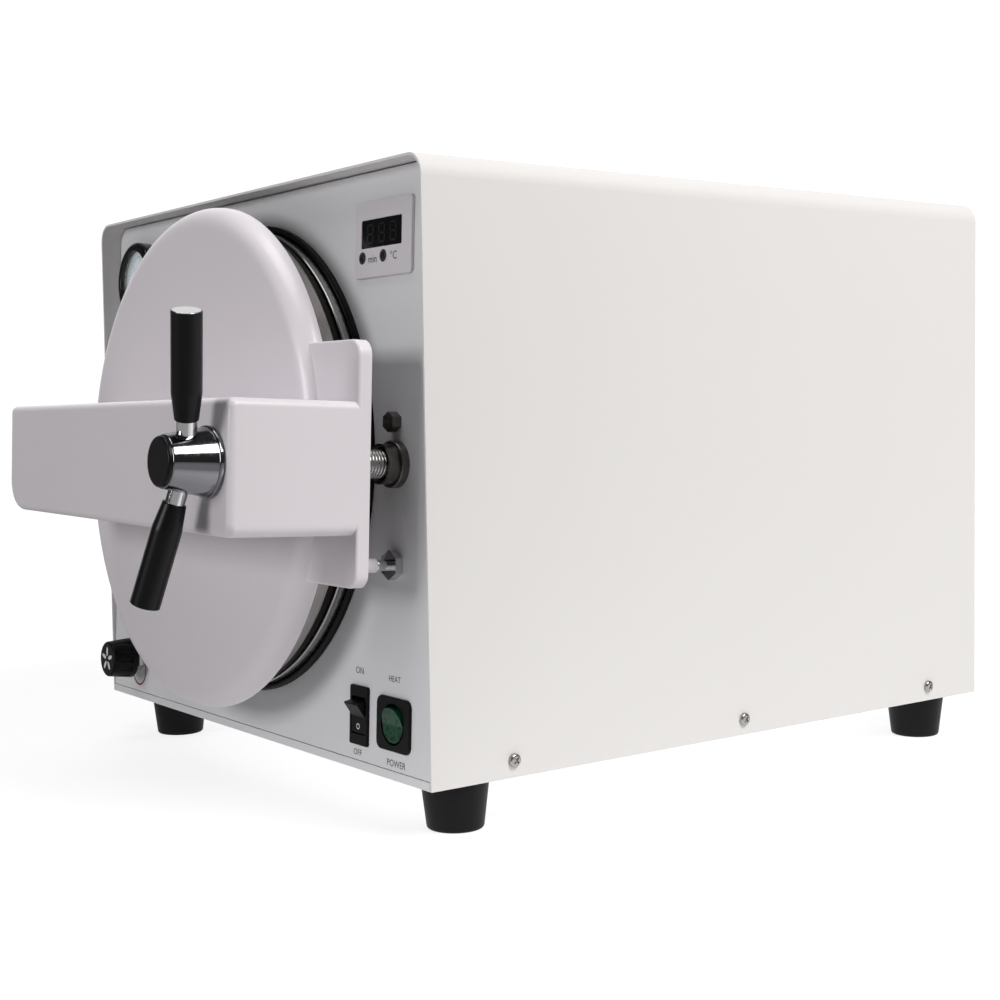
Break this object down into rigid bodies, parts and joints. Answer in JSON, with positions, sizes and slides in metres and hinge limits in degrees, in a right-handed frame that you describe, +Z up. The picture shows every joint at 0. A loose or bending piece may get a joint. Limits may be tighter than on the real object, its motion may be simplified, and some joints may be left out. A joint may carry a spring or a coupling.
{
  "type": "vacuum autoclave",
  "caption": "Bench steam steriliser with a horizontal chamber, a side-hinged round door under a moulded cover, and a screw clamp turned by a two-lever handle.",
  "frame": {"origin": "on the floor under the middle of the whole machine with its door closed", "axes": "+X to the right seen from the front, +Y to the rear, +Z up"},
  "size_m": [0.4338, 0.6362, 0.379],
  "materials": {
    "casing_paint": "satin",
    "panel_paint": "satin",
    "zinc_steel": "matte",
    "stainless": "brushed",
    "bright_steel": "polished",
    "machined_steel": "satin",
    "bronze": "satin",
    "cover_moulding": "gloss",
    "black_rubber": "matte",
    "black_plastic": "gloss",
    "bezel_plastic": "matte",
    "smoked_window": "gloss",
    "green_plastic": "gloss",
    "lamp_plastic": "gloss",
    "dial_card": "matte",
    "clear_glass": "polished",
    "lagging_fibre": "matte",
    "circuit_board": "matte",
    "pump_aluminium": "cast"
  },
  "bodies": {
    "housing": {"base_tray": "casing_paint", "outer_casing": "casing_paint", "front_panel": "panel_paint", "rear_panel": "casing_paint", "foot_front_left": "black_rubber", "foot_front_right": "black_rubber", "foot_rear_left": "black_rubber", "foot_rear_right": "black_rubber", "foot_screws": "zinc_steel", "casing_screws": "bright_steel", "power_inlet": "black_plastic", "fuse_holder": "black_plastic", "exhaust_port": "bright_steel", "vacuum_pump": "pump_aluminium", "mains_board": "circuit_board", "drain_valve": "pump_aluminium", "drain_pipe": "bronze", "gauge_pipe": "bronze", "saddles": "zinc_steel", "chamber": "stainless", "chamber_flange": "stainless", "mouth_trim": "black_rubber", "heater_band": "zinc_steel", "lagging": "lagging_fibre", "safety_valve": "bronze", "hinge_bracket": "machined_steel", "hinge_pin": "bright_steel", "panel_bolts": "bright_steel", "clamp_socket": "machined_steel", "gauge_body": "black_plastic", "gauge_dial": "dial_card", "gauge_glass": "clear_glass", "valve_body": "bright_steel", "display_bezel": "bezel_plastic", "display_window": "smoked_window", "display_lamps": "lamp_plastic", "display_board": "circuit_board", "heat_switch": "black_plastic", "power_switch": "black_plastic", "door_switch": "bright_steel"},
    "door": {"door_plate": "stainless", "door_gasket": "black_rubber", "door_cover": "cover_moulding", "strongback": "machined_steel", "cover_screws": "bright_steel", "centre_bolt": "bright_steel", "clamp_bush": "bronze"},
    "handle_carrier": {"thrust_sleeve": "machined_steel"},
    "handle": {"clamp_screw": "bright_steel", "handle_hub": "machined_steel", "hub_cap": "black_plastic", "lever_rods": "bright_steel", "lever_grips": "black_plastic", "grip_caps": "bright_steel"},
    "needle": {"gauge_needle": "black_plastic"},
    "heat_rocker": {"heat_switch_rocker": "black_plastic"},
    "power_rocker": {"power_switch_rocker": "green_plastic"},
    "steam_valve": {"valve_knob": "black_plastic", "valve_stem": "bright_steel"},
    "door_plunger": {"door_switch_plunger": "bright_steel"}
  },
  "joints": [
    {"name": "door_swing", "type": "hinge", "parent": "housing", "child": "door", "pos_m": [-0.188, -0.20233, 0.21011], "axis": [0, 0.0436, 0.999], "range_deg": [-110, 0]},
    {"name": "handle_feed", "type": "slide", "parent": "door", "child": "handle_carrier", "axis": [0, -0.999, 0.0436], "range_m": [0, 0.012]},
    {"name": "handle_turn", "type": "hinge", "parent": "handle_carrier", "child": "handle", "pos_m": [0.173, -0.28225, 0.2136], "axis": [0, -0.999, 0.0436], "range_deg": [0, 1080]},
    {"name": "heat_rocker_tilt", "type": "hinge", "parent": "housing", "child": "heat_rocker", "pos_m": [0.1393, -0.1716, 0.06093], "axis": [1, 0, 0], "range_deg": [-36, 0]},
    {"name": "power_rocker_tilt", "type": "hinge", "parent": "housing", "child": "power_rocker", "pos_m": [0.1761, -0.1716, 0.06093], "axis": [1, 0, 0], "range_deg": [-16, 0]},
    {"name": "steam_valve_turn", "type": "hinge", "parent": "housing", "child": "steam_valve", "pos_m": [-0.167, -0.17985, 0.05999], "axis": [0, -0.999, 0.0436], "range_deg": [0, 540]},
    {"name": "needle_sweep", "type": "hinge", "parent": "housing", "child": "needle", "pos_m": [-0.168, -0.16524, 0.33511], "axis": [0, 0.999, -0.0436], "range_deg": [0, 270], "stiffness_Nm_per_rad": 0.0002},
    {"name": "door_plunger_press", "type": "slide", "parent": "housing", "child": "door_plunger", "axis": [0, 0.999, -0.0436], "range_m": [0, 0.005], "stiffness_N_per_m": 200, "springref_m": -0.003}
  ],
  "couplings": [
    {"joint": "handle_turn", "follows": "handle_feed", "rad_per_m": 1570}
  ]
}
